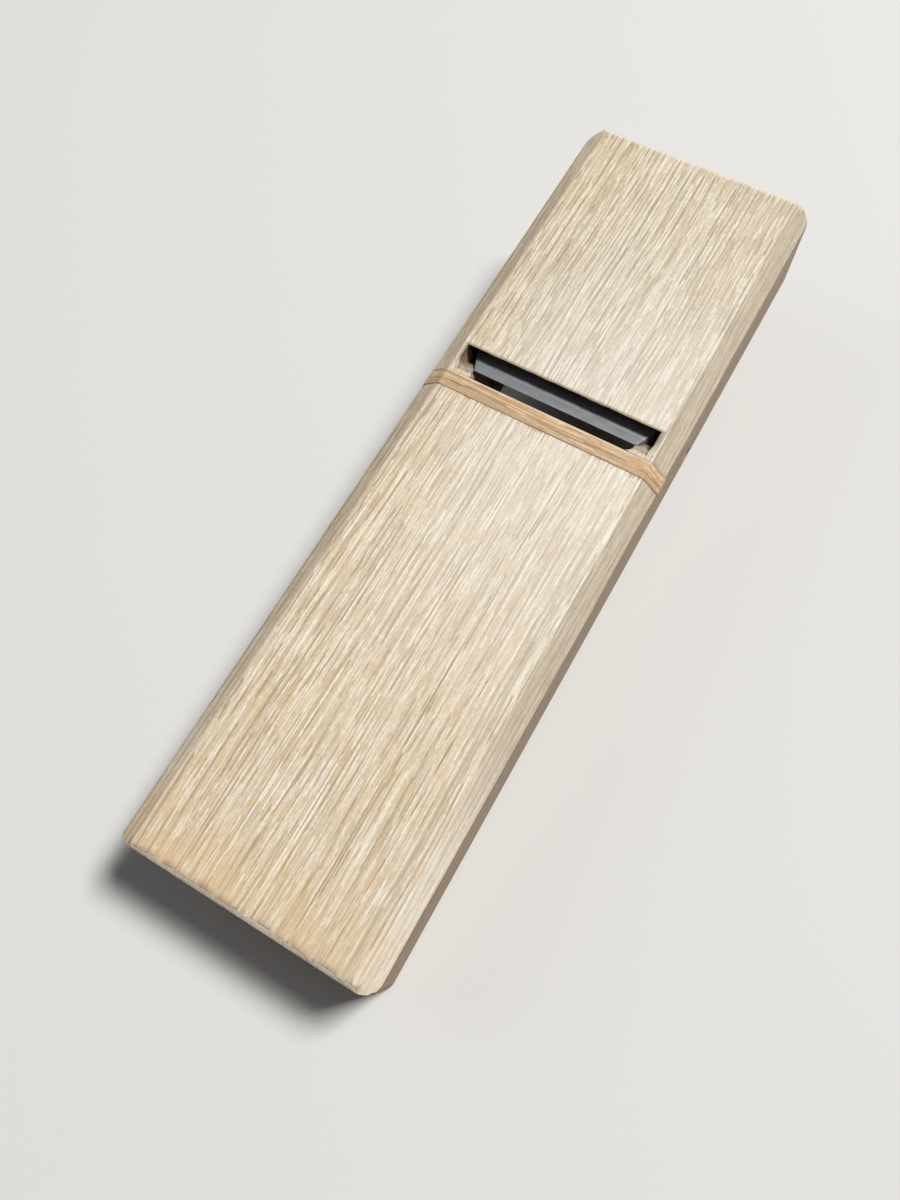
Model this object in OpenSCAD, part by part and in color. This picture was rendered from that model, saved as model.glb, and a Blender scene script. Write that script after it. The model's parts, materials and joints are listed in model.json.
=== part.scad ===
// Japanese pull plane, lying on its back with the sole up.
//
// Every piece is drawn in the plane's own axes: X across the sole,
// Y along it from the leading end, Z square to it with the sole at 0
// and the block below. The plane() module then lays the whole tool
// down on the leading end of the block's top and on the blade's head.

/* [Block] */
// Length of the oak block
body_len = 290; // [270:1:300]
// Width of the block
body_w = 85; // [82:1:90]
// Thickness of the block, from the sole to its top
body_t = 36; // [34:1:38]
// Width of the bevel planed along each long edge of the sole
sole_bevel_w = 6; // [4:0.5:7]
// Depth of that bevel down the block's side
sole_bevel_d = 5.2; // [4:0.1:6]
// Bevel around the block's top
top_bevel = 3; // [2:0.5:4]
// Bevel across each end of the sole
end_bevel = 1.2; // [0.6:0.2:2]
// Cut across the leading left corner, seen from the sole
lead_left_cut = 2; // [1:0.5:3]
// Radius of the leading right corner
lead_right_r = 5; // [3:0.5:7]
// Radius of the trailing left corner
trail_left_r = 5; // [3:0.5:7]
// Radius of the trailing right corner
trail_right_r = 4.5; // [3:0.5:7]

/* [Mouth and throat] */
// Distance from the leading end to the front edge of the mouth
mouth_y = 175.4; // [165:0.1:180]
// Length of the mouth along the sole, from its front edge to the bed
mouth_len = 10.8; // [10.5:0.1:12]
// Width of the throat between the two cheeks
throat_w = 56.6; // [56.4:0.2:58]
// Height of the upright front wall above the mouth
front_wall = 10; // [9.5:0.5:11]
// How far the throat's front wall leans forward by the block's top
throat_lean = 12; // [8:1:14]
// Angle of the blade's bed to the sole
bed_angle = 38.7; // [38:0.1:40]

/* [Mouth insert] */
// Width of the strip let in along the front of the mouth
insert_w = 6.3; // [5:0.1:7]
// Depth of the strip below the sole
insert_t = 8; // [7:0.5:9]
// Undercut of the strip's leading side, which locks it down
insert_undercut = 1; // [0.5:0.1:1.5]

/* [Blade] */
// Length of the blade along its flat face
blade_len = 87; // [84:1:94]
// Width of the blade
blade_w = 66.6; // [64:0.2:67]
// Width of the cutting edge between its clipped corners
edge_w = 58.8; // [54:0.2:60]
// How far back the corners are clipped
corner_clip = 9; // [8:1:12]
// Thickness of the blade near the edge
blade_t = 6; // [5.6:0.1:6.4]
// Angle between the blade's two faces, so that it wedges in the block
wedge_angle = 1.15; // [0.8:0.05:1.4]
// Angle ground on the cutting edge
edge_bevel = 28; // [26:1:32]
// How far the cutting edge is drawn back below the sole
draw_back = 2.9; // [1:0.1:3.2]
// Thickness of the hard steel layer
steel_t = 1.6; // [1.2:0.1:2]
// Length of the hard steel layer from the edge
steel_len = 62; // [55:1:66]
// Radius of the blade's shoulders at its head
shoulder_r = 13; // [8:1:16]
// Bevel around the blade's head
head_bevel = 0.8; // [0.4:0.1:1.2]
// Depth of the hollow ground in the flat face
hollow_t = 0.35; // [0.2:0.05:0.5]

/* [Chip breaker] */
// Length of the chip breaker
breaker_len = 62; // [58:1:64]
// Width of the chip breaker
breaker_w = 55.4; // [52:0.2:55.6]
// Distance from the blade's edge back to the chip breaker's tip
breaker_back = 5; // [4.5:0.5:7]
// Thickness of the chip breaker at the top of its front slope
breaker_t = 2.5; // [2:0.1:2.6]
// Thickness of the chip breaker at its head
breaker_head_t = 3.2; // [2.8:0.1:3.4]
// Length of the front slope
breaker_slope = 6; // [5:0.5:8]
// How far the two ears are bent down to the blade
ear_drop = 2.2; // [1.6:0.1:2.4]
// Size of the bent ears
ear_size = 9; // [6:1:11]
// Length of the chip breaker's steel tip
tip_len = 16; // [12:1:20]
// Thickness of the steel tip
tip_t = 0.9; // [0.7:0.1:1]
// Radius of the chip breaker's shoulders
breaker_shoulder_r = 7; // [4:1:9]

/* [Cross pin] */
// Diameter of the steel pin that holds the chip breaker down
pin_d = 5; // [4:0.5:5]
// Distance of the pin from the cutting edge, along the blade
pin_s = 30; // [28:1:32]
// Height of the pin's underside above the blade's flat face
pin_gap = 4.3; // [4.3:0.1:5]
// How far the pin's ends sit below the block's sides
pin_recess = 1; // [0.5:0.5:3]

/* [Clearances] */
// Gap between the blade's back and its bed
bed_gap = 0.05; // [0.03:0.01:0.08]
// Gap between the blade's flat face and the cheeks
cheek_gap = 0.2; // [0.15:0.01:0.3]
// Gap at each side of the blade in its grooves
side_gap = 0.6; // [0.4:0.1:0.8]
// Gap under the chip breaker's tip and ears
breaker_gap = 0.05; // [0.03:0.01:0.08]

/* [Hidden] */
$fn = 64;

// How far the cutting shapes run past the block's faces
over = 1;

half_w = body_w / 2;
groove_w = blade_w + 2 * side_gap;
mouth_back = mouth_y + mouth_len;

// The blade's flat face lies this steep to the sole
face_angle = bed_angle + wedge_angle;

// Place of the cutting edge
edge_z = -draw_back;
edge_y = mouth_back - blade_t * sin(face_angle)
    - (blade_t * cos(face_angle) - draw_back) / tan(bed_angle)
    - bed_gap / sin(bed_angle);

// The blade's back meets the ground bevel here, from the edge
heel_s = blade_t / (tan(edge_bevel) - tan(wedge_angle));
heel_n = heel_s * tan(edge_bevel);
head_t = blade_t + blade_len * tan(wedge_angle);

// The hard steel layer shows on the bevel up to here
steel_s = steel_t / tan(edge_bevel);

// Lowest line of the blade's head and of the block's leading end
rest_s = blade_len - head_bevel;
rest_y = edge_y + rest_s * cos(face_angle);
rest_z = edge_z - rest_s * sin(face_angle);
tilt = atan((-rest_z - body_t) / (rest_y - top_bevel));

// The origin is under the middle of the tool as it lies
low_y = end_bevel * sin(tilt);
high_y = body_len * cos(tilt) + (body_t - top_bevel) * sin(tilt);
lift = body_t * cos(tilt) - top_bevel * sin(tilt);

function bed_y(z) = mouth_back - z / tan(bed_angle);
function cheek_y(z) = edge_y + (edge_z - z) / tan(face_angle)
    - cheek_gap / sin(face_angle);

// ---- shared placing and shaping ----

// Lays the tool down and brings it over the origin
module plane() {
    translate([0, -(low_y + high_y) / 2, lift])
        rotate([tilt, 0, 0])
            children();
}

// Y runs from the cutting edge to the head along the flat face,
// Z from the flat face into the blade's thickness
module on_blade() {
    translate([0, edge_y, edge_z])
        rotate([-face_angle, 0, 0])
            children();
}

// Stands a side view (along, up) upright and gives it a width across
module across(w) {
    rotate([90, 0, 90])
        linear_extrude(height = w, center = true)
            children();
}

// Triangle that cuts a bevel of the given sides off the corner at 0,
// with the material on the positive sides
module corner_cut(a, b) {
    polygon([
        [-over, -over],
        [a + over * a / b, -over],
        [-over, b + over * b / a]
    ]);
}

// What rounding the corner at 0 takes off, with the material on the
// positive sides
module corner_round(r) {
    difference() {
        translate([-over, -over])
            square(r + over);
        translate([r, r])
            circle(r = r);
    }
}

// Plate outline with two round shoulders at its far end
module shouldered(w, len, r) {
    translate([-w / 2, -over])
        square([w, len - r + over]);
    translate([-w / 2 + r, 0])
        square([w - 2 * r, len]);
    for (side = [-1, 1])
        translate([side * (w / 2 - r), len - r])
            circle(r = r);
}

// ---- block ----

// Section across the block, with the sole at the top
module block_section() {
    polygon([
        [-half_w, -sole_bevel_d],
        [-half_w + sole_bevel_w, 0],
        [half_w - sole_bevel_w, 0],
        [half_w, -sole_bevel_d],
        [half_w, top_bevel - body_t],
        [half_w - top_bevel, -body_t],
        [top_bevel - half_w, -body_t],
        [-half_w, top_bevel - body_t]
    ]);
}

module block_blank() {
    translate([0, body_len, 0])
        rotate([90, 0, 0])
            linear_extrude(height = body_len)
                block_section();
}

// Cuts an upright corner of the block
module upright_cut() {
    translate([0, 0, -body_t - over])
        linear_extrude(height = body_t + 2 * over)
            children();
}

module block_corners() {
    upright_cut()
        translate([-half_w, 0])
            corner_cut(lead_left_cut, lead_left_cut);
    upright_cut()
        translate([half_w, 0])
            mirror([1, 0])
                corner_round(lead_right_r);
    upright_cut()
        translate([-half_w, body_len])
            mirror([0, 1])
                corner_round(trail_left_r);
    upright_cut()
        translate([half_w, body_len])
            rotate(180)
                corner_round(trail_right_r);
}

// Bevels across the two ends, at the sole and at the top
module block_ends() {
    w = body_w + 2 * over;
    across(w)
        mirror([0, 1])
            corner_cut(end_bevel, end_bevel);
    across(w)
        translate([body_len, 0])
            rotate(180)
                corner_cut(end_bevel, end_bevel);
    across(w)
        translate([0, -body_t])
            corner_cut(top_bevel, top_bevel);
    across(w)
        translate([body_len, -body_t])
            mirror([1, 0])
                corner_cut(top_bevel, top_bevel);
}

// Throat between the cheeks, from the mouth to the block's top
module throat() {
    deep = -body_t - over;
    lean = throat_lean * (-deep - front_wall) / (body_t - front_wall);
    across(throat_w)
        polygon([
            [mouth_y, over],
            [bed_y(over), over],
            [bed_y(deep), deep],
            [mouth_y - lean, deep],
            [mouth_y, -front_wall]
        ]);
}

// Sloping grooves that hold the blade's two sides
module blade_grooves() {
    deep = -body_t - over;
    across(groove_w)
        polygon([
            [cheek_y(over), over],
            [bed_y(over), over],
            [bed_y(deep), deep],
            [cheek_y(deep), deep]
        ]);
}

// Side view of the strip let in at the mouth
module insert_side(top) {
    polygon([
        [mouth_y - insert_w, top],
        [mouth_y, top],
        [mouth_y, -insert_t],
        [mouth_y - insert_w - insert_undercut, -insert_t],
        [mouth_y - insert_w, 0]
    ]);
}

module at_pin() {
    on_blade()
        translate([0, pin_s, -pin_gap - pin_d / 2])
            rotate([0, 90, 0])
                children();
}

module body_block() {
    color([0.80, 0.70, 0.55])
        plane()
            difference() {
                block_blank();
                block_corners();
                block_ends();
                throat();
                blade_grooves();
                across(body_w + 2 * over)
                    insert_side(over);
                at_pin()
                    cylinder(d = pin_d, h = body_w + over, center = true);
            }
}

module mouth_insert() {
    color([0.79, 0.62, 0.42])
        plane()
            intersection() {
                block_blank();
                across(body_w + 2 * over)
                    insert_side(over);
            }
}

module cross_pin() {
    color([0.45, 0.45, 0.46])
        plane()
            at_pin()
                cylinder(d = pin_d, h = body_w - 2 * pin_recess, center = true);
}

// ---- blade ----

// Outline of the blade seen square to its flat face
module blade_outline() {
    difference() {
        shouldered(blade_w, blade_len, shoulder_r);
        for (side = [0, 1])
            mirror([side, 0])
                polygon([
                    [edge_w / 2, 0],
                    [blade_w / 2, corner_clip],
                    [blade_w / 2 + over, corner_clip],
                    [blade_w / 2 + over, -2 * over],
                    [edge_w / 2, -2 * over]
                ]);
    }
}

// Keeps what lies inside the blade's outline
module trimmed_to_blade() {
    intersection() {
        children();
        translate([0, 0, -over])
            linear_extrude(height = head_t + 2 * over)
                blade_outline();
    }
}

module blade_iron() {
    color([0.42, 0.42, 0.44])
        plane()
            on_blade()
                trimmed_to_blade()
                    across(blade_w + 2 * over)
                        polygon([
                            [steel_s, steel_t],
                            [steel_len, steel_t],
                            [steel_len, 0],
                            [blade_len - head_bevel, 0],
                            [blade_len, head_bevel],
                            [blade_len, head_t - head_bevel],
                            [blade_len - head_bevel, head_t - head_bevel * tan(wedge_angle)],
                            [heel_s, heel_n]
                        ]);
}

// Shallow hollow in the hard steel, open to no side
module face_hollow() {
    rim = 6;
    w = edge_w - 1.5 * rim;
    len = steel_len - 2 * rim;
    corner_r = 10;
    translate([0, rim, -over])
        linear_extrude(height = hollow_t + over)
            union() {
                translate([-w / 2, corner_r])
                    square([w, len - corner_r]);
                translate([-w / 2 + corner_r, 0])
                    square([w - 2 * corner_r, len]);
                for (side = [-1, 1])
                    translate([side * (w / 2 - corner_r), corner_r])
                        circle(r = corner_r);
            }
}

module blade_steel() {
    color([0.62, 0.64, 0.67])
        plane()
            on_blade()
                difference() {
                    trimmed_to_blade()
                        across(blade_w + 2 * over)
                            polygon([
                                [0, 0],
                                [steel_len, 0],
                                [steel_len, steel_t],
                                [steel_s, steel_t]
                            ]);
                    face_hollow();
                }
}

// ---- chip breaker ----

// Y runs from the tip to the head, Z away from the blade
module on_breaker() {
    on_blade()
        translate([0, breaker_back, -breaker_gap])
            mirror([0, 0, 1])
                children();
}

// Height of the chip breaker's underside above the blade
function under(s) = ear_drop * s / breaker_len;

module trimmed_to_breaker() {
    intersection() {
        children();
        translate([0, 0, -over])
            linear_extrude(height = ear_drop + breaker_head_t + 2 * over)
                shouldered(breaker_w, breaker_len, breaker_shoulder_r);
    }
}

// Corner of the plate bent down until it meets the blade
module ear() {
    linear_extrude(height = ear_drop)
        polygon([
            [breaker_w / 2 - ear_size, breaker_len],
            [breaker_w / 2, breaker_len],
            [breaker_w / 2, breaker_len - ear_size]
        ]);
}

module chip_breaker_iron() {
    color([0.38, 0.38, 0.40])
        plane()
            on_breaker()
                trimmed_to_breaker()
                    union() {
                        across(breaker_w + 2 * over)
                            polygon([
                                [tip_t * breaker_slope / breaker_t, tip_t],
                                [tip_len, under(tip_len) + tip_t],
                                [tip_len, under(tip_len)],
                                [breaker_len, ear_drop],
                                [breaker_len, ear_drop + breaker_head_t],
                                [breaker_slope, breaker_t]
                            ]);
                        ear();
                        mirror([1, 0])
                            ear();
                    }
}

module chip_breaker_steel() {
    color([0.60, 0.61, 0.63])
        plane()
            on_breaker()
                across(breaker_w)
                    polygon([
                        [0, 0],
                        [tip_len, under(tip_len)],
                        [tip_len, under(tip_len) + tip_t],
                        [tip_t * breaker_slope / breaker_t, tip_t]
                    ]);
}

body_block();
mouth_insert();
cross_pin();
blade_iron();
blade_steel();
chip_breaker_iron();
chip_breaker_steel();
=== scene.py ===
"""Looks of a Japanese pull plane that lies on its back, sole up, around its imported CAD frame."""

import json
import math

import bmesh
import bpy
from mathutils import Matrix, Vector, noise


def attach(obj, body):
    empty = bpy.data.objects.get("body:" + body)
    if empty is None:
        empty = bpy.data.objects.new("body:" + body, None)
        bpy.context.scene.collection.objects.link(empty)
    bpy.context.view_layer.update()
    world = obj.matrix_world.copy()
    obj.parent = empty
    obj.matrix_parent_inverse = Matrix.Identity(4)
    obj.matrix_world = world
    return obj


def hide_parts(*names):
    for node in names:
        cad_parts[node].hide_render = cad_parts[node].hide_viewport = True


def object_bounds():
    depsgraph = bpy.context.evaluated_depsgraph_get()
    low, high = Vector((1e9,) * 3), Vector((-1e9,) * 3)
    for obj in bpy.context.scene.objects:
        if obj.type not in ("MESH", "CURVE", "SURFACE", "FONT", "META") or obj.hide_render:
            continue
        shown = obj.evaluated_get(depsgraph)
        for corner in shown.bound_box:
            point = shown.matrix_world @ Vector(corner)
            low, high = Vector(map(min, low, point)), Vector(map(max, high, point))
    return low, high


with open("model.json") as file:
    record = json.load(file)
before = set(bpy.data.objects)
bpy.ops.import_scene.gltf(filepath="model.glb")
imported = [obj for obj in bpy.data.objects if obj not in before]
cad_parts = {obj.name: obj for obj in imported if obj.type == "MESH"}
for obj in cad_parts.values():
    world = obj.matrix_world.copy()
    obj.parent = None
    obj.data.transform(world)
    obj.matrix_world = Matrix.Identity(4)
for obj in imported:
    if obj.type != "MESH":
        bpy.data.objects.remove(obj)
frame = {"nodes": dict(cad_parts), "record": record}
CAD_LOW, CAD_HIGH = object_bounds()

MM = 0.001
RECORD = frame["record"]

# ---------------------------------------------------------------------------
# The plane's own axes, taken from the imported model
# ---------------------------------------------------------------------------


def axes_matrix(across, along, up, origin):
    """Takes a point given in these axes to the row frame."""
    turn = Matrix((across, along, up)).transposed().to_4x4()
    return Matrix.Translation(origin) @ turn


def reach(node, direction):
    """Lowest and highest place of a CAD node along a direction."""
    places = [v.co.dot(direction) for v in frame["nodes"][node].data.vertices]
    return min(places), max(places)


def find_plane_axes():
    """X across the sole, Y along it from the leading end, Z out of it, with the sole at 0."""
    sole = next(m for m in RECORD["mounts"] if m["name"] == "sole")
    up = Vector(sole["axis"]).normalized()
    across = Vector((1, 0, 0))
    along = up.cross(across)
    at = Vector(sole["pos_m"])
    lead = reach("body_block", along)[0]
    origin = up * at.dot(up) + along * lead
    return axes_matrix(across, along, up, origin)


def find_blade_axes():
    """X across the blade, Y from its cutting edge to its head, Z from its flat face into it."""
    slide = next(j for j in RECORD["behaviour"]["joints"] if j["name"] == "chip_breaker_slide")
    along = Vector(slide["axis"]).normalized()
    across = Vector((1, 0, 0))
    up = across.cross(along)
    origin = along * reach("blade_steel", along)[0] + up * reach("blade_steel", up)[0]
    return axes_matrix(across, along, up, origin)


PLANE = find_plane_axes()
BLADE = find_blade_axes()


def box_in(node, axes):
    """Lowest and highest corner of a CAD node in some axes, in millimetres."""
    inverse = axes.inverted()
    places = [inverse @ v.co / MM for v in frame["nodes"][node].data.vertices]
    low = Vector([min(p[i] for p in places) for i in range(3)])
    high = Vector([max(p[i] for p in places) for i in range(3)])
    return low, high


def find_mouth_back():
    """Where the sole starts again behind the mouth."""
    inverse = PLANE.inverted()
    places = [inverse @ v.co / MM for v in frame["nodes"]["body_block"].data.vertices]
    return min(p.y for p in places if p.z > -0.01 and abs(p.x) < 35 and p.y > MOUTH_Y + 5)


BLOCK_LOW, BLOCK_HIGH = box_in("body_block", PLANE)
INSERT_LOW, INSERT_HIGH = box_in("mouth_insert", PLANE)
HALF_W = BLOCK_HIGH.x
MOUTH_Y = INSERT_HIGH.y
MOUTH_BACK = find_mouth_back()
INSERT_LINE_Y = INSERT_LOW.y + 1.0

# Dirt and painted shade from the throat reach no further along the block than this
THROAT_BACK = 250.0

# ---------------------------------------------------------------------------
# Camera, light and floor
# ---------------------------------------------------------------------------

# In the plane's own axes, in millimetres
CAMERA_AT = Vector((66.0, 29.0, 262.2))
CAMERA_TARGET = Vector((4.7, 105.8, 0.0))
CAMERA_UP = Vector((-0.4542, 0.8207, 0.3466))
CAMERA_LENS = 28.3

SKY = (0.95, 0.97, 1.0)
SKY_STRENGTH = 0.06
FLOOR_TONE = (0.64, 0.64, 0.63)
FLOOR_HALF = 3.0


def make_camera():
    data = bpy.data.cameras.new("camera")
    data.lens = CAMERA_LENS
    data.sensor_width = 36.0
    data.clip_start = 0.01
    data.clip_end = 20.0
    camera = bpy.data.objects.new("camera", data)
    bpy.context.scene.collection.objects.link(camera)
    back = (CAMERA_AT - CAMERA_TARGET).normalized()
    right = CAMERA_UP.cross(back).normalized()
    up = back.cross(right)
    pose = axes_matrix(right, up, back, CAMERA_AT * MM)
    camera.matrix_world = PLANE @ pose
    bpy.context.scene.camera = camera


def area_light(name, direction, distance, size, power, colour):
    """A square lamp that looks at the middle of the plane."""
    data = bpy.data.lights.new(name, "AREA")
    data.shape = "SQUARE"
    data.size = size
    data.energy = power
    data.color = colour
    lamp = bpy.data.objects.new(name, data)
    bpy.context.scene.collection.objects.link(lamp)
    way = Vector(direction).normalized()
    middle = (CAD_LOW + CAD_HIGH) / 2
    lamp.location = middle + way * distance
    lamp.rotation_euler = way.to_track_quat("Z", "Y").to_euler()


def make_lights():
    area_light("key", direction=(0.35, 0.40, 1.0), distance=4.2, size=1.05, power=220.0,
               colour=(1.0, 0.98, 0.95))
    area_light("fill", direction=(-1.0, -0.25, 0.75), distance=2.6, size=1.6, power=9.0,
               colour=(0.94, 0.97, 1.0))
    world = bpy.data.worlds.new("studio")
    world.use_nodes = True
    sky = world.node_tree.nodes["Background"]
    sky.inputs["Color"].default_value = (*SKY, 1.0)
    sky.inputs["Strength"].default_value = SKY_STRENGTH
    bpy.context.scene.world = world
    bpy.context.scene.view_settings.view_transform = "Standard"


def make_floor():
    mesh = bpy.data.meshes.new("floor")
    half = FLOOR_HALF
    corners = [(-half, -half, 0), (half, -half, 0), (half, half, 0), (-half, half, 0)]
    mesh.from_pydata(corners, [], [(0, 1, 2, 3)])
    floor = bpy.data.objects.new("floor", mesh)
    bpy.context.scene.collection.objects.link(floor)
    paint = bpy.data.materials.new("pale_floor")
    paint.use_nodes = True
    shader = paint.node_tree.nodes["Principled BSDF"]
    shader.inputs["Base Color"].default_value = (*FLOOR_TONE, 1.0)
    shader.inputs["Roughness"].default_value = 0.85
    mesh.materials.append(paint)


# ---------------------------------------------------------------------------
# Shader building
# ---------------------------------------------------------------------------


class Shader:
    """A Principled material and short ways to add nodes to it. Lengths are in millimetres."""

    def __init__(self, name):
        self.material = bpy.data.materials.new(name)
        self.material.use_nodes = True
        self.tree = self.material.node_tree
        self.surface = self.tree.nodes["Principled BSDF"]
        coordinates = self.node("ShaderNodeTexCoord")
        self.place = self.vector("SCALE", coordinates.outputs["Object"], scale=1 / MM)
        parts = self.node("ShaderNodeSeparateXYZ")
        self.link(self.place, parts.inputs[0])
        self.x, self.y, self.z = parts.outputs
        facing = self.node("ShaderNodeSeparateXYZ")
        self.link(coordinates.outputs["Normal"], facing.inputs[0])
        self.nx, self.ny, self.nz = facing.outputs

    def node(self, kind):
        return self.tree.nodes.new(kind)

    def link(self, value, socket):
        """Joins an output to a socket, or sets the socket to a plain value."""
        if isinstance(value, bpy.types.NodeSocket):
            self.tree.links.new(value, socket)
        else:
            socket.default_value = value

    def math(self, operation, a, b=0.0, clamp=False):
        node = self.node("ShaderNodeMath")
        node.operation = operation
        node.use_clamp = clamp
        self.link(a, node.inputs[0])
        self.link(b, node.inputs[1])
        return node.outputs[0]

    def vector(self, operation, a, b=(0, 0, 0), scale=1.0):
        node = self.node("ShaderNodeVectorMath")
        node.operation = operation
        self.link(a, node.inputs[0])
        if operation == "SCALE":
            self.link(scale, node.inputs["Scale"])
        else:
            self.link(b, node.inputs[1])
        return node.outputs["Value" if operation in ("LENGTH", "DISTANCE") else "Vector"]

    def join(self, x, y, z):
        node = self.node("ShaderNodeCombineXYZ")
        for value, socket in zip((x, y, z), node.inputs):
            self.link(value, socket)
        return node.outputs[0]

    def stretched(self, x, y, z, size):
        """Coordinates in which a feature of the given size along each axis is one unit long."""
        return self.vector("DIVIDE", self.join(x, y, z), size)

    def noise(self, vector, detail=2.0, roughness=0.5, distortion=0.0):
        node = self.node("ShaderNodeTexNoise")
        self.link(vector, node.inputs["Vector"])
        node.inputs["Scale"].default_value = 1.0
        node.inputs["Detail"].default_value = detail
        node.inputs["Roughness"].default_value = roughness
        node.inputs["Distortion"].default_value = distortion
        return node.outputs["Fac"]

    def lines(self, across, along, spacing, width, length, level):
        """Lines of one width along the grain, spaced at random and broken into lengths."""
        node = self.node("ShaderNodeTexVoronoi")
        node.voronoi_dimensions = "1D"
        self.link(self.math("DIVIDE", across, spacing), node.inputs["W"])
        node.inputs["Scale"].default_value = 1.0
        chance = self.node("ShaderNodeSeparateColor")
        self.link(node.outputs["Color"], chance.inputs[0])
        offset = self.math("MULTIPLY", chance.outputs[0], 90.0)
        run = self.noise(self.join(offset, self.math("DIVIDE", along, length), 0.0), 1.0)
        half = width / 2 / spacing
        line = self.step(node.outputs["Distance"], half * 1.4, half * 0.6)
        strength = self.scale(chance.outputs[1], 0.45, 1.0)
        broken = self.math("MULTIPLY", self.step(run, level, level + 0.07), strength)
        return self.math("MULTIPLY", line, broken)

    def step(self, value, low, high, smooth=True):
        """0 at low, 1 at high. Low may be above high."""
        node = self.node("ShaderNodeMapRange")
        node.interpolation_type = "SMOOTHSTEP" if smooth else "LINEAR"
        self.link(value, node.inputs["Value"])
        node.inputs["From Min"].default_value = low
        node.inputs["From Max"].default_value = high
        return node.outputs["Result"]

    def scale(self, value, low, high):
        """A 0 to 1 value spread from low to high."""
        return self.math("ADD", self.math("MULTIPLY", value, high - low), low)

    def mix(self, share, a, b, mode="MIX"):
        node = self.node("ShaderNodeMix")
        node.data_type = "RGBA"
        node.blend_type = mode
        node.clamp_factor = True
        self.link(share, node.inputs["Factor"])
        colours = [s for s in node.inputs if s.type == "RGBA"]
        for value, socket in zip((a, b), colours):
            self.link((*value, 1.0) if isinstance(value, tuple) else value, socket)
        return next(s for s in node.outputs if s.type == "RGBA")

    def ramp(self, value, stops):
        node = self.node("ShaderNodeValToRGB")
        points = node.color_ramp.elements
        while len(points) < len(stops):
            points.new(0.5)
        for point, (place, colour) in zip(points, stops):
            point.position = place
            point.color = (*colour, 1.0)
        self.link(value, node.inputs[0])
        return node.outputs[0]

    def near(self, centre, radius, soft):
        """1 near a point, falling to 0 from radius - soft to radius + soft."""
        distance = self.vector("DISTANCE", self.place, centre)
        return self.step(distance, radius + soft, radius - soft)

    def attribute(self, name):
        node = self.node("ShaderNodeAttribute")
        node.attribute_name = name
        return node.outputs["Fac"]

    def bump(self, height, depth, previous=None):
        node = self.node("ShaderNodeBump")
        node.inputs["Distance"].default_value = depth * MM
        node.inputs["Strength"].default_value = 1.0
        self.link(height, node.inputs["Height"])
        if previous is not None:
            self.link(previous, node.inputs["Normal"])
        return node.outputs[0]

    def finish(self, **sockets):
        for name, value in sockets.items():
            self.link(value, self.surface.inputs[name.replace("_", " ")])
        return self.material


def any_of(shader, *masks):
    total = masks[0]
    for mask in masks[1:]:
        total = shader.math("MAXIMUM", total, mask)
    return total


# ---------------------------------------------------------------------------
# Oak
# ---------------------------------------------------------------------------


# Width of a growth ring
RING_WIDTH = 1.7

# Tones of the wood, by the value of its grain, and what is laid over them
OAK_TONES = [
    (0.34, (0.48, 0.39, 0.265)),
    (0.45, (0.65, 0.555, 0.405)),
    (0.55, (0.75, 0.665, 0.52)),
    (0.66, (0.87, 0.82, 0.71)),
]
OAK_MOTTLE = (0.86, 0.83, 0.79)
OAK_BAND = (0.92, 0.87, 0.81)
OAK_PALE = (0.97, 0.95, 0.89)
OAK_PORE = (0.25, 0.18, 0.11)
WARM = (0.66, 0.43, 0.20)
# Painted light: the pale tone of a sheen on the sole and of the lit right bevel
PAINTED_LIGHT_PALE = (0.84, 0.835, 0.81)
GREY = (0.40, 0.395, 0.31)
BROWN = (0.27, 0.20, 0.125)
# Nearly black: dirt together with painted shade in the throat
GRIME_AND_SHADE = (0.030, 0.022, 0.015)
TORN = (0.60, 0.55, 0.455)
TORN_DARK = (0.30, 0.25, 0.17)
FAR_SHADE = (0.93, 0.95, 0.97)
# Painted shade on the left edge bevel
LEFT_BEVEL_SHADE = (0.60, 0.53, 0.43)
RIGHT_BEVEL = (0.60, 0.55, 0.47)
HANDLED_SIDE = (0.34, 0.22, 0.13)
END_GRAIN = (0.62, 0.52, 0.40)
RUBBED_ARRIS = (0.80, 0.69, 0.58)
LIP_DARK = (0.58, 0.49, 0.37)
LIP_PALE = (0.86, 0.77, 0.63)
CRACK = (0.12, 0.085, 0.055)
JOINT_LINE = (0.16, 0.11, 0.06)
INSERT_TINT = (0.86, 0.71, 0.56)
INSERT_STRIPE = (0.42, 0.26, 0.13)
INSERT_LIP = (0.72, 0.66, 0.56)
WOOD_SPECULAR = 0.42


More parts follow.
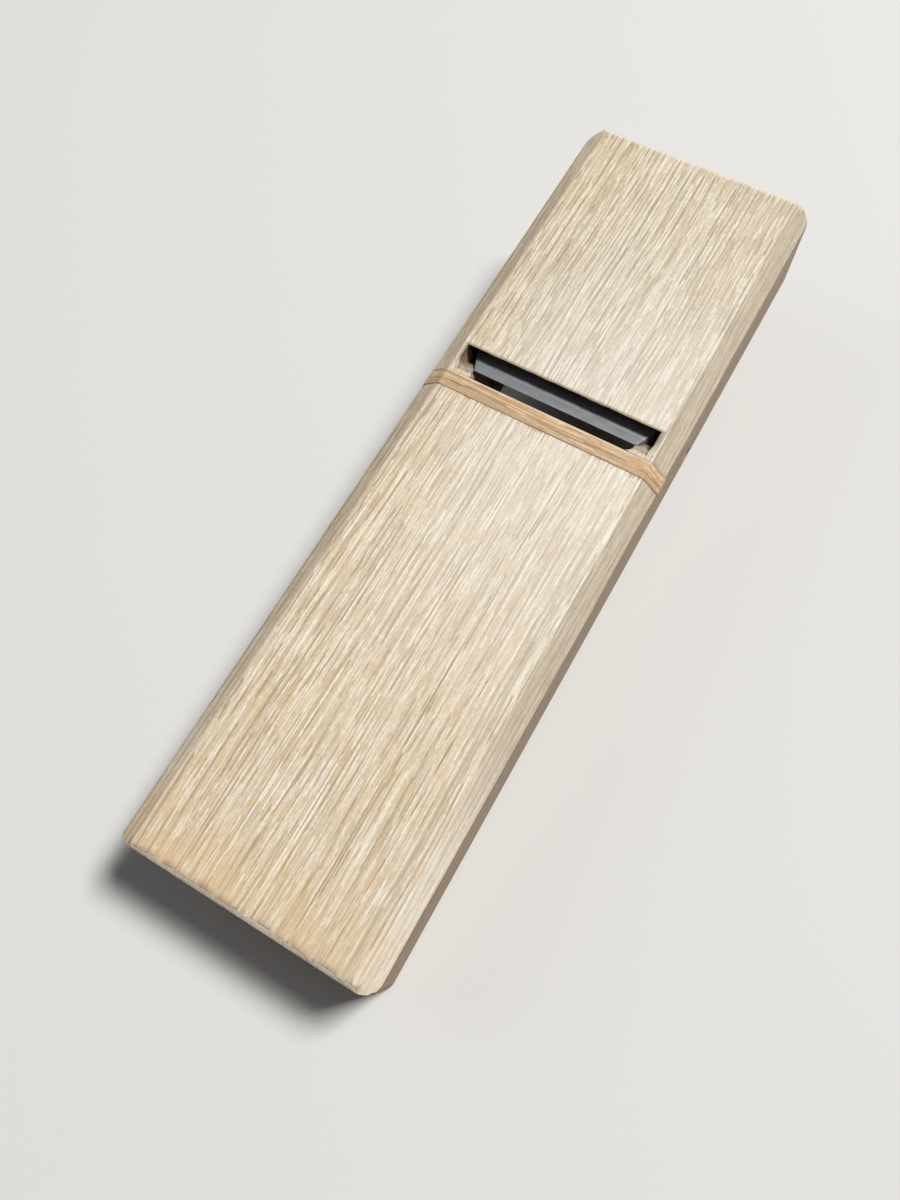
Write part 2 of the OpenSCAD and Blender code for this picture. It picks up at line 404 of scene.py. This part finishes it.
def oak_grain(s, across, along, up):
    """Colour, pores and relief of straight-grained white oak that runs along one axis."""
    sway = s.noise(s.stretched(across, along, up, (35, 120, 35)), 2.0)
    waver = s.noise(s.stretched(across, along, up, (5, 26, 5)), 1.0)
    drift = s.math("ADD", s.scale(sway, -2.0, 2.0), s.scale(waver, -0.35, 0.35))
    x = s.math("ADD", across, drift)

    fibre = s.noise(s.stretched(x, along, up, (0.30, 20, 0.30)), 2.0, 0.6)
    streak = s.noise(s.stretched(x, along, up, (1.1, 150, 1.1)), 1.5, 0.6)
    band = s.noise(s.stretched(x, along, up, (9, 190, 9)), 2.0)

    # The big pores lie in the first wood of each growth ring
    tilted = s.math("ADD", s.math("MULTIPLY", x, 0.86), s.math("MULTIPLY", up, 0.51))
    ring = s.math("FRACT", s.math("DIVIDE", s.math("ADD", tilted, 200.0), RING_WIDTH))
    early = s.step(ring, 0.55, 0.0)

    # Lines stay narrow on bevels and sides, and cross the ends at a slant
    down_sides = s.math("MULTIPLY", up, s.nx)
    down_ends = s.math("MULTIPLY", s.math("MULTIPLY", up, 0.5), s.math("ABSOLUTE", s.ny))
    slant = s.math("ADD", s.math("SUBTRACT", x, down_sides), down_ends)
    fine = s.lines(slant, along, 0.85, 0.36, 7.0, 0.46)
    bold = s.lines(s.math("ADD", slant, 13.7), along, 1.8, 0.52, 15.0, 0.45)
    pale = s.lines(s.math("ADD", slant, 31.3), along, 1.2, 0.46, 12.0, 0.46)
    pores = s.math("MAXIMUM", s.math("MULTIPLY", fine, s.scale(early, 0.40, 0.80)), bold)

    tone = s.math("ADD", s.math("MULTIPLY", fibre, 0.5), s.math("MULTIPLY", streak, 0.5))
    colour = s.ramp(tone, OAK_TONES)
    colour = s.mix(s.scale(band, 0.0, 0.6), colour, OAK_BAND, "MULTIPLY")
    colour = s.mix(s.math("MULTIPLY", pale, 0.80), colour, OAK_PALE)
    colour = s.mix(s.math("MULTIPLY", pores, 0.70), colour, OAK_PORE)
    mottle = s.noise(s.stretched(across, along, up, (0.8, 1.5, 0.8)), 3.0, 0.7)
    colour = s.mix(s.step(mottle, 0.66, 0.34), colour, OAK_MOTTLE, "MULTIPLY")
    height = s.math("SUBTRACT", tone, s.math("MULTIPLY", pores, 0.8))
    return colour, pores, height


def block_oak():
    s = Shader("block_oak")
    colour, pores, height = oak_grain(s, s.x, s.y, s.z)

    # Honey colour left by oil and hands, strongest at the leading end
    blotch = s.noise(s.stretched(s.x, s.y, s.z, (11, 17, 11)), 3.0, 0.65)
    patchy = s.step(blotch, 0.34, 0.66)
    spot = s.noise(s.stretched(s.x, s.y, s.z, (3.2, 8, 3.2)), 2.0, 0.6)
    honey = s.math("MULTIPLY", s.step(spot, 0.53, 0.68), s.step(s.y, 175.0, 20.0))
    honey = s.math("MULTIPLY", honey, 0.38)
    lead = s.math("MULTIPLY", s.step(s.y, 34.0, 0.0), s.scale(patchy, 0.25, 0.85))
    corner = s.math("MULTIPLY", s.near((-38.0, 272.0, 0.0), 24.0, 22.0), 0.16)
    lead = s.math("MULTIPLY", lead, 0.60)
    warm = any_of(s, lead, corner, honey, s.math("MULTIPLY", patchy, 0.08))
    colour = s.mix(warm, colour, WARM)

    # Painted sheen: the sole is painted paler over the middle and right, on both sides of the mouth
    pale = s.math("MULTIPLY", s.step(s.y, 50.0, 160.0), s.step(s.y, 270.0, 190.0))
    pale = s.math("MULTIPLY", pale, s.step(s.x, -36.0, -4.0))
    pale = s.math("MULTIPLY", pale, s.step(s.nz, 0.9, 0.97))
    colour = s.mix(s.math("MULTIPLY", pale, 0.26), colour, PAINTED_LIGHT_PALE)

    # The sole is a little darker towards its far end
    shade = s.math("MULTIPLY", s.step(s.y, 130.0, 240.0), s.step(s.nz, 0.85, 0.95))
    colour = s.mix(shade, colour, FAR_SHADE, "MULTIPLY")

    # Greenish grey band beside the right arris of the leading part
    band = s.math("MULTIPLY", s.step(s.x, 27.5, 33.0), s.step(s.x, 38.0, 34.5))
    band = s.math("MULTIPLY", band, s.step(s.y, 168.0, 120.0))
    colour = s.mix(s.math("MULTIPLY", band, s.scale(patchy, 0.10, 0.30)), colour, GREY)

    # Painted shade darkens the left edge bevel away from the ends; the sides and top are dulled by
    # hands all over
    between_ends = s.math("MULTIPLY", s.step(s.y, 25.0, 90.0), s.step(s.y, 285.0, 245.0))
    left = s.math("MULTIPLY", s.step(s.nx, -0.45, -0.62), s.scale(between_ends, 0.10, 0.36))
    colour = s.mix(left, colour, LEFT_BEVEL_SHADE, "MULTIPLY")
    # Painted light: the right bevel, which faces the lamp, is painted paler, then made darker away from
    # the leading end
    right = s.math("MULTIPLY", s.step(s.nx, 0.30, 0.60), s.step(s.nz, 0.45, 0.60))
    colour = s.mix(s.math("MULTIPLY", right, 0.30), colour, PAINTED_LIGHT_PALE)
    right = s.math("MULTIPLY", right, s.scale(s.step(s.y, 25.0, 90.0), 0.0, 0.70))
    colour = s.mix(right, colour, RIGHT_BEVEL, "MULTIPLY")
    sides = s.math("MULTIPLY", s.step(s.nz, 0.70, 0.40), 0.85)
    colour = s.mix(sides, colour, HANDLED_SIDE, "MULTIPLY")
    end = s.step(s.math("ABSOLUTE", s.ny), 0.6, 0.9)
    colour = s.mix(s.math("MULTIPLY", end, 0.5), colour, END_GRAIN, "MULTIPLY")

    # The far end's arris is rubbed to a pale pinkish strip
    far_arris = s.math("MULTIPLY", s.step(s.y, 287.4, 288.8), s.step(s.z, -2.4, -1.4))
    colour = s.mix(s.math("MULTIPLY", far_arris, 0.55), colour, RUBBED_ARRIS)

    # Dirt and painted shade make the throat nearly black; dirt in the worn rim of the mouth and along
    # rubbed edges
    throat = s.attribute("inside")
    stain = s.noise(s.stretched(s.x, s.y, s.z, (5, 9, 3)), 3.0)
    colour = s.mix(s.math("MULTIPLY", throat, s.scale(stain, 0.75, 1.0)), colour, GRIME_AND_SHADE)
    # Painted shade with dirt: the throat's walls below the sole are darkened nearly black
    slot = s.step(s.math("ABSOLUTE", s.x), 36.2, 35.6)
    slot = s.math("MULTIPLY", slot, s.step(s.y, MOUTH_Y - 0.2, MOUTH_Y + 0.4))
    slot = s.math("MULTIPLY", slot, s.step(s.y, THROAT_BACK + 1.0, THROAT_BACK))
    depth = s.math("MULTIPLY", s.step(s.z, -1.0, -1.9), s.step(s.z, -15.0, -9.0))
    colour = s.mix(s.math("MULTIPLY", slot, depth), colour, GRIME_AND_SHADE)
    rim = s.step(s.y, MOUTH_BACK + 1.6, MOUTH_BACK + 0.5)
    rim = s.math("MULTIPLY", rim, s.step(s.y, MOUTH_Y, MOUTH_Y + 8))
    rim = s.math("MULTIPLY", rim, s.step(s.math("ABSOLUTE", s.x), 37.0, 35.0))
    colour = s.mix(s.math("MULTIPLY", rim, s.scale(stain, 0.7, 1.2)), colour, BROWN)
    speck = s.noise(s.stretched(s.x, s.y, s.z, (1.1, 1.6, 1.1)), 3.0, 0.65)
    rubbed = s.math("MULTIPLY", s.attribute("edge"), s.step(speck, 0.38, 0.62))
    colour = s.mix(s.math("MULTIPLY", rubbed, 0.42), colour, BROWN)

    # The lip of the leading end is speckled pale, with a broken dark line along its arris
    low_end = s.math("MULTIPLY", s.step(s.y, 4.0, 3.6), s.step(s.z, -3.4, -2.4))
    lip = s.math("MULTIPLY", s.step(s.ny, -0.30, -0.50), low_end)
    lip_tone = s.mix(s.step(speck, 0.30, 0.55), LIP_DARK, LIP_PALE)
    low_end = s.math("MULTIPLY", low_end, s.step(s.math("ABSOLUTE", s.x), 38.5, 37.0))
    colour = s.mix(s.math("MULTIPLY", lip, 0.85), colour, lip_tone)
    crack = s.math("MULTIPLY", s.step(s.ny, -0.03, -0.12), s.step(s.ny, -0.50, -0.34))
    crack = s.math("MULTIPLY", s.math("MULTIPLY", crack, low_end), s.step(stain, 0.35, 0.55))
    colour = s.mix(s.math("MULTIPLY", crack, 0.7), colour, CRACK)

    # Torn fibres on the two cheeks at the ends of the mouth
    torn = s.attribute("torn")
    fleck = s.noise(s.stretched(s.x, s.y, s.z, (0.45, 3.2, 0.45)), 3.0, 0.6)
    ragged = s.mix(s.step(fleck, 0.34, 0.50), TORN_DARK, TORN)
    colour = s.mix(s.math("MULTIPLY", torn, 0.55), colour, ragged)

    # Fine dark line where the insert meets the block
    line = s.math("ABSOLUTE", s.math("SUBTRACT", s.y, INSERT_LINE_Y))
    joint = s.math("MULTIPLY", s.step(line, 0.42, 0.10), s.step(s.z, -8.4, -7.6))
    colour = s.mix(s.math("MULTIPLY", joint, 0.75), colour, JOINT_LINE)

    rough = s.scale(s.math("ADD", s.math("MULTIPLY", pores, 0.4), blotch), 0.44, 0.60)
    rough = s.math("ADD", rough, s.math("MULTIPLY", any_of(s, torn, throat, end), 0.25), clamp=True)
    normal = s.bump(height, 0.05)
    normal = s.bump(s.math("MULTIPLY", fleck, torn), 0.18, normal)
    return s.finish(Base_Color=colour, Roughness=rough, Normal=normal, Specular_IOR_Level=WOOD_SPECULAR)


def insert_wood():
    s = Shader("insert_wood")
    colour, _, height = oak_grain(s, s.y, s.x, s.math("MULTIPLY", s.z, 0.15))
    colour = s.mix(1.0, colour, INSERT_TINT, "MULTIPLY")
    stripe = s.noise(s.stretched(s.y, s.x, s.z, (0.9, 34, 0.9)), 2.0)
    colour = s.mix(s.math("MULTIPLY", s.step(stripe, 0.46, 0.62), 0.5), colour, INSERT_STRIPE)
    line = s.math("SUBTRACT", s.y, INSERT_LINE_Y)
    joint = s.step(line, 0.35, 0.05)
    colour = s.mix(s.math("MULTIPLY", joint, 0.7), colour, JOINT_LINE)
    lip = s.math("MULTIPLY", s.step(s.y, MOUTH_Y - 0.9, MOUTH_Y - 0.2), s.step(s.z, -1.5, -0.2))
    colour = s.mix(s.math("MULTIPLY", lip, 0.35), colour, INSERT_LIP)
    # Painted shade with dirt: the insert's faces towards the throat are darkened
    inside = s.step(s.z, -0.6, -3.0)
    back = s.math("MULTIPLY", inside, s.step(s.ny, 0.4, 0.8))
    colour = s.mix(s.math("MULTIPLY", back, 0.8), colour, GRIME_AND_SHADE)
    rough = s.scale(stripe, 0.45, 0.62)
    return s.finish(Base_Color=colour, Roughness=rough, Normal=s.bump(height, 0.03),
                    Specular_IOR_Level=WOOD_SPECULAR)


# ---------------------------------------------------------------------------
# Steel and iron
# ---------------------------------------------------------------------------


BEVEL_GREY = (0.29, 0.302, 0.322)
BEVEL_DARK = (0.135, 0.142, 0.153)
BEVEL_METAL = 0.30
BLADE_STEEL = (0.50, 0.53, 0.56)
# Painted shade: the chip breaker's steel is darker than the blade's, for the shaded gap in front of the
# cutting edge
SHADED_BREAKER_STEEL = (0.30, 0.31, 0.33)
PIN_STEEL = (0.30, 0.29, 0.28)
STAIN = (0.20, 0.13, 0.08)
SKIN_DARK = (0.028, 0.026, 0.026)
SKIN_PALE = (0.080, 0.073, 0.070)
RUST = (0.17, 0.075, 0.03)


def on_ground_bevel(s):
    """1 on the bevel, the one outer face of the blade that leans towards its cutting edge."""
    return s.step(s.ny, -0.30, -0.42)


def ground_scratches(s):
    """Fine scratches along the edge, as a stone leaves them."""
    return s.noise(s.stretched(s.x, s.y, s.z, (14, 0.10, 0.10)), 3.0, 0.7)


def ground_steel(name, tone, stain):
    """Stone-ground steel with faint stains, dulled by damp on its bevel."""
    s = Shader(name)
    scratch = ground_scratches(s)
    cloud = s.noise(s.stretched(s.x, s.y, s.z, (7, 3, 3)), 3.0, 0.6)
    bevel = on_ground_bevel(s)
    colour = s.mix(s.scale(cloud, 0.0, 0.6), tone, tuple(c * 0.72 for c in tone))
    colour = s.mix(bevel, colour, s.mix(cloud, BEVEL_GREY, BEVEL_DARK))
    spots = s.noise(s.stretched(s.x, s.y, s.z, (1.6, 1.2, 1.2)), 4.0, 0.7)
    spots = s.math("MULTIPLY", s.step(spots, 0.58, 0.72), stain)
    colour = s.mix(spots, colour, STAIN)
    rough = s.math("ADD", s.scale(scratch, 0.30, 0.46), s.math("MULTIPLY", spots, 0.3))
    rough = s.math("ADD", rough, s.math("MULTIPLY", bevel, 0.12))
    shine = s.math("SUBTRACT", 1.0, s.math("MULTIPLY", spots, 0.7))
    metal = s.math("MULTIPLY", shine, s.scale(bevel, 1.0, BEVEL_METAL))
    return s.finish(Base_Color=colour, Roughness=rough, Metallic=metal,
                    Normal=s.bump(scratch, 0.006))


def forged_iron(name, ground=None):
    """Soft iron with its dark forge skin, rusty in places. ground() masks stone-ground faces."""
    s = Shader(name)
    pitting = s.noise(s.stretched(s.x, s.y, s.z, (1.3, 1.3, 1.3)), 5.0, 0.65)
    cloud = s.noise(s.stretched(s.x, s.y, s.z, (9, 12, 9)), 3.0, 0.6)
    colour = s.ramp(cloud, [(0.3, SKIN_DARK), (0.7, SKIN_PALE)])
    rust = s.math("MULTIPLY", s.step(cloud, 0.50, 0.66), s.step(pitting, 0.42, 0.62))
    colour = s.mix(s.math("MULTIPLY", rust, 0.75), colour, RUST)
    rough = s.math("ADD", s.scale(pitting, 0.42, 0.62), s.math("MULTIPLY", rust, 0.25), clamp=True)
    metal = s.scale(s.math("SUBTRACT", 1.0, rust), 0.25, 0.85)
    normal = s.bump(pitting, 0.10)
    if ground:
        bright = ground(s)
        scratch = s.scale(ground_scratches(s), 0.42, 0.58)
        colour = s.mix(bright, colour, s.mix(cloud, BEVEL_GREY, BEVEL_DARK))
        rough = s.math("ADD", s.math("MULTIPLY", scratch, bright),
                       s.math("MULTIPLY", rough, s.math("SUBTRACT", 1.0, bright)))
        metal = s.math("ADD", s.math("MULTIPLY", bright, BEVEL_METAL),
                       s.math("MULTIPLY", metal, s.math("SUBTRACT", 1.0, bright)))
    return s.finish(Base_Color=colour, Roughness=rough, Metallic=metal, Normal=normal)


# ---------------------------------------------------------------------------
# Worn copies of the CAD pieces
# ---------------------------------------------------------------------------


def cad_bmesh(node, axes):
    """The CAD node's solid in some axes, in millimetres, with its flat faces whole."""
    bm = bmesh.new()
    bm.from_mesh(frame["nodes"][node].data)
    bm.transform(Matrix.Diagonal((1 / MM,) * 3).to_4x4() @ axes.inverted())
    bmesh.ops.remove_doubles(bm, verts=bm.verts, dist=0.002)
    bmesh.ops.dissolve_limit(bm, angle_limit=math.radians(0.4), verts=bm.verts, edges=bm.edges)
    return bm


def face_outwards(bm):
    """Turns every face of a closed mesh outwards. The volume shows if all of them came out inverted."""
    bmesh.ops.recalc_face_normals(bm, faces=bm.faces)
    if bm.calc_volume(signed=True) < 0:
        bmesh.ops.reverse_faces(bm, faces=bm.faces)
    bm.normal_update()


def middle(edge):
    return (edge.verts[0].co + edge.verts[1].co) / 2


def divide(edge, gap):
    """Adds points along an edge, no further apart than gap, and cuts no face."""
    if edge.calc_length() > gap:
        half, _ = bmesh.utils.edge_split(edge, edge.verts[0], 0.5)
        divide(edge, gap)
        divide(half, gap)


def is_sharp(edge):
    return len(edge.link_faces) == 2 and edge.calc_face_angle() > math.radians(12)


def round_edges(bm, width_of, segments=3):
    """Rounds each sharp edge to the width that width_of gives for it."""
    weights = bm.edges.layers.float.new("bevel_weight_edge")
    widths = {edge: width_of(edge) if is_sharp(edge) else 0.0 for edge in bm.edges}
    widest = max(widths.values())
    for edge, width in widths.items():
        edge[weights] = width / widest
    mesh = bpy.data.meshes.new("rounding")
    bm.to_mesh(mesh)
    bm.free()
    holder = bpy.data.objects.new("rounding", mesh)
    bpy.context.scene.collection.objects.link(holder)
    bevel = holder.modifiers.new("bevel", "BEVEL")
    bevel.limit_method = "WEIGHT"
    bevel.width = widest
    bevel.segments = segments
    bevel.use_clamp_overlap = False
    graph = bpy.context.evaluated_depsgraph_get()
    rounded = bmesh.new()
    rounded.from_object(holder, graph)
    bpy.data.objects.remove(holder)
    bpy.data.meshes.remove(mesh)
    return rounded


def slice_up(bm, axis, places, inside=None):
    """Cuts the mesh at each place along an axis, or only its faces that inside() accepts."""
    normal = Vector([float(i == axis) for i in range(3)])
    for place in places:
        faces = [f for f in bm.faces if not inside or inside(f.calc_center_median())]
        edges = {e for f in faces for e in f.edges}
        verts = {v for e in edges for v in e.verts}
        bmesh.ops.bisect_plane(bm, geom=[*verts, *edges, *faces], dist=1e-4,
                               plane_co=normal * place, plane_no=normal)


def spaced(low, high, gap):
    count = max(1, round((high - low) / gap))
    return [low + (high - low) * (i + 0.5) / count for i in range(count)]


def smoothstep(low, high, value):
    share = min(1.0, max(0.0, (value - low) / (high - low)))
    return share * share * (3 - 2 * share)


def rough_noise(place, size, seed=0.0):
    """Noise from about -1 to 1 with features of the given size."""
    return noise.noise(Vector(place) / size + Vector((seed, seed * 0.7, -seed)))


def piece_from(bm, name, axes, body, material, replaced, masks=()):
    """Makes the mesh a piece that rides on a body and stands for a CAD node.

    masks maps the name of an attribute to the function that gives its value at a vertex.
    """
    face_outwards(bm)
    bm.verts.index_update()
    values = {key: [f(v) for v in bm.verts] for key, f in dict(masks).items()}
    for v in bm.verts:
        v.co *= MM
    mesh = bpy.data.meshes.new(name)
    bm.to_mesh(mesh)
    bm.free()
    mesh.shade_smooth()
    mesh.set_sharp_from_angle(angle=math.radians(32))
    for key, found in values.items():
        layer = mesh.attributes.new(key, "FLOAT", "POINT")
        layer.data.foreach_set("value", found)
    mesh.materials.append(material)
    piece = bpy.data.objects.new(name, mesh)
    bpy.context.scene.collection.objects.link(piece)
    piece.matrix_world = axes
    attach(piece, body)
    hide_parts(replaced)


# ---------------------------------------------------------------------------
# Block
# ---------------------------------------------------------------------------

# Points nearer to an outer face than this are worn
SKIN = 0.9

# Height and depth of the lip cut along the leading end
LIP = 1.2

CHAMFER_W = 6.0

# How deep each kind of wear goes, before noise scales it
WAVE = 0.03
DENT = 0.55
NICK = 0.5
NICK_AT_LEAD = 0.15
TORN_DEPTH = 0.12
FIBRE_DEPTH = 0.16
LEFT_CHEEK_CUT = 1.9
RIGHT_CHEEK_CUT = 0.5
SPLINTER = 1.3
LEFT_CORNER_WEAR = 1.2
RIGHT_CORNER_WEAR = 0.6

# Spacing of the cuts that give wear its points, over the block and round the cheeks
CUTS = 2.2
CUTS_UP = 2.4
FINE_CUTS = 0.55
FINE_CUTS_UP = 0.6


def depth_inside(p):
    """How far a point lies inside the block's outer faces, near enough for masks."""
    sides = HALF_W - abs(p.x)
    ends = min(p.y - BLOCK_LOW.y, BLOCK_HIGH.y - p.y)
    flats = min(-p.z, p.z - BLOCK_LOW.z)
    chamfer = (HALF_W - abs(p.x) - CHAMFER_W) * 0.65 - p.z * 0.76
    return min(sides, ends, flats, max(0.0, chamfer) if p.z > -CHAMFER_W else flats)


def at_insert(p):
    return abs(p.y - INSERT_LINE_Y) < 1.2 or abs(p.y - MOUTH_Y) < 0.3


def at_mouth(p):
    return MOUTH_Y < p.y < MOUTH_BACK + 1 and abs(p.x) < HALF_W - CHAMFER_W


def block_edge_width(edge):
    """Width that wear has given an edge: little inside, most along the long arrises of the sole."""
    at = middle(edge)
    wear = 1 + 0.55 * rough_noise(at, 16.0, 2.0)
    if depth_inside(at) > SKIN:
        return 0.2
    if at_insert(at):
        return 0.08
    if at_mouth(at):
        return 0.35 if abs(at.y - MOUTH_BACK) < 0.6 else 0.22
    if at.y < 3.0:
        return 0.25 * wear
    if at.z > -0.1 and abs(at.x) > 30:
        softest = 1.3 * smoothstep(4, 14, at.y) * (1 - smoothstep(30, 120, at.y))
        return (0.55 + (softest if at.x > 0 else 0.2)) * wear
    return 0.5 * wear


def divide_edges(bm):
    """Points along the outer edges, so that wear can vary along them."""
    for edge in [e for e in bm.edges if is_sharp(e)]:
        at = middle(edge)
        if at.y < 3.0 and abs(edge.verts[0].co.x - edge.verts[1].co.x) > 5:
            divide(edge, 1.3)
        elif abs(at.y - MOUTH_BACK) < 0.6 and at.z > -0.1:
            divide(edge, 2.2)
        elif depth_inside(at) < SKIN and not at_insert(at) and edge.calc_length() > 12:
            divide(edge, 5.0)


def rag_edges(bm):
    """Makes the lip of the leading end and the back of the mouth run unevenly."""
    for v in bm.verts:
        p = v.co
        if abs(p.x) > HALF_W - 5:
            continue
        if abs(p.y - LIP) < 0.05 and p.z > -0.01:
            wide = 0.10 + 0.5 * rough_noise(p, 14.0, 4.0) + 0.22 * rough_noise(p, 3.0, 6.0)
            p.y += max(-0.4, wide)
        elif p.y < 0.01 and abs(p.z + LIP) < 0.05:
            p.z -= 0.2 + 0.2 * rough_noise(p, 5.0, 7.0)
        elif abs(p.y - MOUTH_BACK) < 0.1 and p.z > -0.01 and abs(p.x) < 34:
            p.y += 0.12 + 0.25 * rough_noise(p, 7.0, 8.0)


def near_cheeks(p):
    return 25 < abs(p.x) < 37 and MOUTH_Y - 1 < p.y < MOUTH_Y + 13 and -9 < p.z < 0.5


def torn_share(p):
    """1 on the ragged wood around the two ends of the mouth."""
    if not near_cheeks(p):
        return 0.0
    centre = Vector((math.copysign(31.5, p.x), MOUTH_Y + 3.0, -1.5))
    apart = p - centre
    apart.y *= 0.8
    apart.x *= 0.75
    ragged = apart.length + 1.4 * rough_noise(p, 1.6, 3.0)
    return 1.0 - smoothstep(2.6, 4.6, ragged)


def throat_dirt_and_shade_share(v):
    """1 in the throat, painted dark with dirt and painted shade. The groove's walls behind the cheeks
    are darkened right up to the sole.
    """
    if abs(v.co.x) > 37 or v.co.y > THROAT_BACK:
        return 0.0
    low, high = (0.1, 0.9) if v.co.y > MOUTH_Y + 5.5 else (0.6, 2.6)
    return smoothstep(low, high, depth_inside(v.co)) if v.co.z < -low else 0.0


def wear_block(bm):
    """Moves points inwards, bar the odd torn fibre: planed waves, dented edges, torn cheeks."""
    bmesh.ops.remove_doubles(bm, verts=bm.verts, dist=1e-3)
    face_outwards(bm)
    round_share = {v: 1 - min(v.normal.dot(f.normal) for f in v.link_faces) for v in bm.verts}
    moves = {}
    for v in bm.verts:
        p = v.co.copy()
        outer = depth_inside(p) < SKIN
        on_edge = smoothstep(0.002, 0.05, round_share[v])
        wave = WAVE * (1 + rough_noise((p.x, p.y * 0.4, p.z), 14.0, 1.0))
        move = v.normal * -wave if outer else Vector()
        if outer and on_edge > 0:
            dents = max(0.0, rough_noise(p, 4.5, 5.0) - 0.12) * DENT
            nicks = max(0.0, rough_noise(p, 1.7, 9.0) - 0.30) * (NICK_AT_LEAD if p.y < 3.5 else NICK)
            move -= v.normal * on_edge * (dents + nicks)
        torn = torn_share(p)
        if torn > 0:
            fibre = FIBRE_DEPTH * rough_noise((p.x, p.y * 0.3, p.z), 1.1, 21.0)
            move -= v.normal * torn * (TORN_DEPTH + fibre)
        moves[v] = move
    for v, move in moves.items():
        v.co += move
        for axis, (low, high) in enumerate(zip(BLOCK_LOW, BLOCK_HIGH)):
            v.co[axis] = min(max(v.co[axis], low), high)


def shape_mouth_ends(bm):
    """Opens the left cheek's inner wall obliquely, and leaves a small splinter at the right one."""
    for v in bm.verts:
        p = v.co
        if not (26 < abs(p.x) < 30.5 and MOUTH_Y + 0.3 < p.y < MOUTH_Y + 10 and p.z > -7):
            continue
        low = 1 - smoothstep(-3.0, -6.5, p.z) if p.z < -3 else 1.0
        if p.x < 0:
            p.x -= LEFT_CHEEK_CUT * smoothstep(0.5, 5.0, p.y - MOUTH_Y) * low
        else:
            tooth = math.exp(-((p.y - MOUTH_Y - 0.2) / 0.28) ** 2)
            p.x -= SPLINTER * tooth * low
            p.x += RIGHT_CHEEK_CUT * smoothstep(1.2, 2.0, p.y - MOUTH_Y) * low


def open_slot_corners(bm):
    """Wears the slot's side walls outwards near the sole, as far as its two far corners."""
    for v in bm.verts:
        p = v.co
        if not (30 < abs(p.x) < 38 and MOUTH_Y + 3 < p.y < MOUTH_BACK + 5 and p.z > -7):
            continue
        along = smoothstep(MOUTH_Y + 3, MOUTH_Y + 6, p.y)
        along *= 1 - smoothstep(MOUTH_BACK + 1.5, MOUTH_BACK + 5, p.y)
        across = smoothstep(30, 33.5, abs(p.x)) * (1 - smoothstep(34.2, 38, abs(p.x)))
        down = 1 - smoothstep(-2, -7, p.z)
        worn = LEFT_CORNER_WEAR if p.x < 0 else RIGHT_CORNER_WEAR
        p.x += math.copysign(worn * along * across * down, p.x)


def make_block(material):
    bm = cad_bmesh("body_block", PLANE)
    divide_edges(bm)
    rag_edges(bm)
    bm = round_edges(bm, block_edge_width)
    slice_up(bm, 1, spaced(3.6, BLOCK_HIGH.y - 1.5, CUTS))
    slice_up(bm, 0, spaced(-HALF_W + 1, HALF_W - 1, CUTS))
    slice_up(bm, 2, spaced(BLOCK_LOW.z + 1, -1, CUTS_UP))
    for side in (-1, 1):
        def here(c, side=side):
            return c.x * side > 0 and near_cheeks(c)
        slice_up(bm, 0, spaced(side * 31 - 6, side * 31 + 6, FINE_CUTS), here)
        slice_up(bm, 1, spaced(MOUTH_Y - 1, MOUTH_Y + 12, FINE_CUTS), here)
        slice_up(bm, 2, spaced(-8.5, -0.3, FINE_CUTS_UP), here)
    shape_mouth_ends(bm)
    open_slot_corners(bm)
    wear_block(bm)

    def edge_share(v):
        return smoothstep(0.002, 0.04, 1 - min(v.normal.dot(f.normal) for f in v.link_faces))

    masks = {
        "inside": throat_dirt_and_shade_share,
        "edge": edge_share,
        "torn": lambda v: torn_share(v.co),
    }
    piece_from(bm, "worn_block", PLANE, "block", material, "body_block", masks)


def make_insert(material):
    bm = round_edges(cad_bmesh("mouth_insert", PLANE), lambda edge: 0.1, 2)
    slice_up(bm, 0, spaced(-HALF_W + 0.5, HALF_W - 0.5, 1.1))
    for v in bm.verts:
        if v.co.z > -1:
            v.co.z -= 0.05 * (1 + rough_noise(v.co, 9.0, 4.0))
    piece_from(bm, "mouth_insert_strip", PLANE, "block", material, "mouth_insert")


# ---------------------------------------------------------------------------
# Blade, chip breaker and pin
# ---------------------------------------------------------------------------


def blade_edge_width(edge):
    """Keen near the cutting edge and on the flat side, rounded on the rest of the iron."""
    at = middle(edge)
    return 0.03 if at.y < 14 or at.z < 2.5 else 0.45


def make_blade_part(node, name, material):
    bm = round_edges(cad_bmesh(node, BLADE), blade_edge_width)
    low, high = box_in(node, BLADE)
    slice_up(bm, 0, spaced(low.x, high.x, 3.0))
    slice_up(bm, 1, spaced(low.y, high.y, 3.0))
    for v in bm.verts:
        if v.co.y > 14 and v.co.z > 1:
            v.co.z += 0.05 * rough_noise(v.co, 6.0, 8.0)
    piece_from(bm, name, BLADE, "blade", material, node)


def make_breaker_part(node, name, material):
    bm = round_edges(cad_bmesh(node, BLADE), lambda edge: 0.2, 2)
    piece_from(bm, name, BLADE, "chip_breaker", material, node)


def make_pin(material):
    bm = round_edges(cad_bmesh("cross_pin", PLANE), lambda edge: 0.4, 2)
    piece_from(bm, "cross_pin_rod", PLANE, "block", material, "cross_pin")


make_camera()
make_lights()
make_floor()
make_block(block_oak())
make_insert(insert_wood())
make_blade_part("blade_iron", "blade_forged_iron",
                forged_iron("blade_iron_skin", on_ground_bevel))
make_blade_part("blade_steel", "blade_hard_steel",
                ground_steel("blade_steel_ground", BLADE_STEEL, 0.25))
make_breaker_part("chip_breaker_iron", "chip_breaker_plate",
                  forged_iron("breaker_iron_skin"))
make_breaker_part("chip_breaker_steel", "chip_breaker_tip",
                  ground_steel("breaker_steel_ground", SHADED_BREAKER_STEEL, 0.3))
make_pin(ground_steel("pin_steel_dull", PIN_STEEL, 0.5))
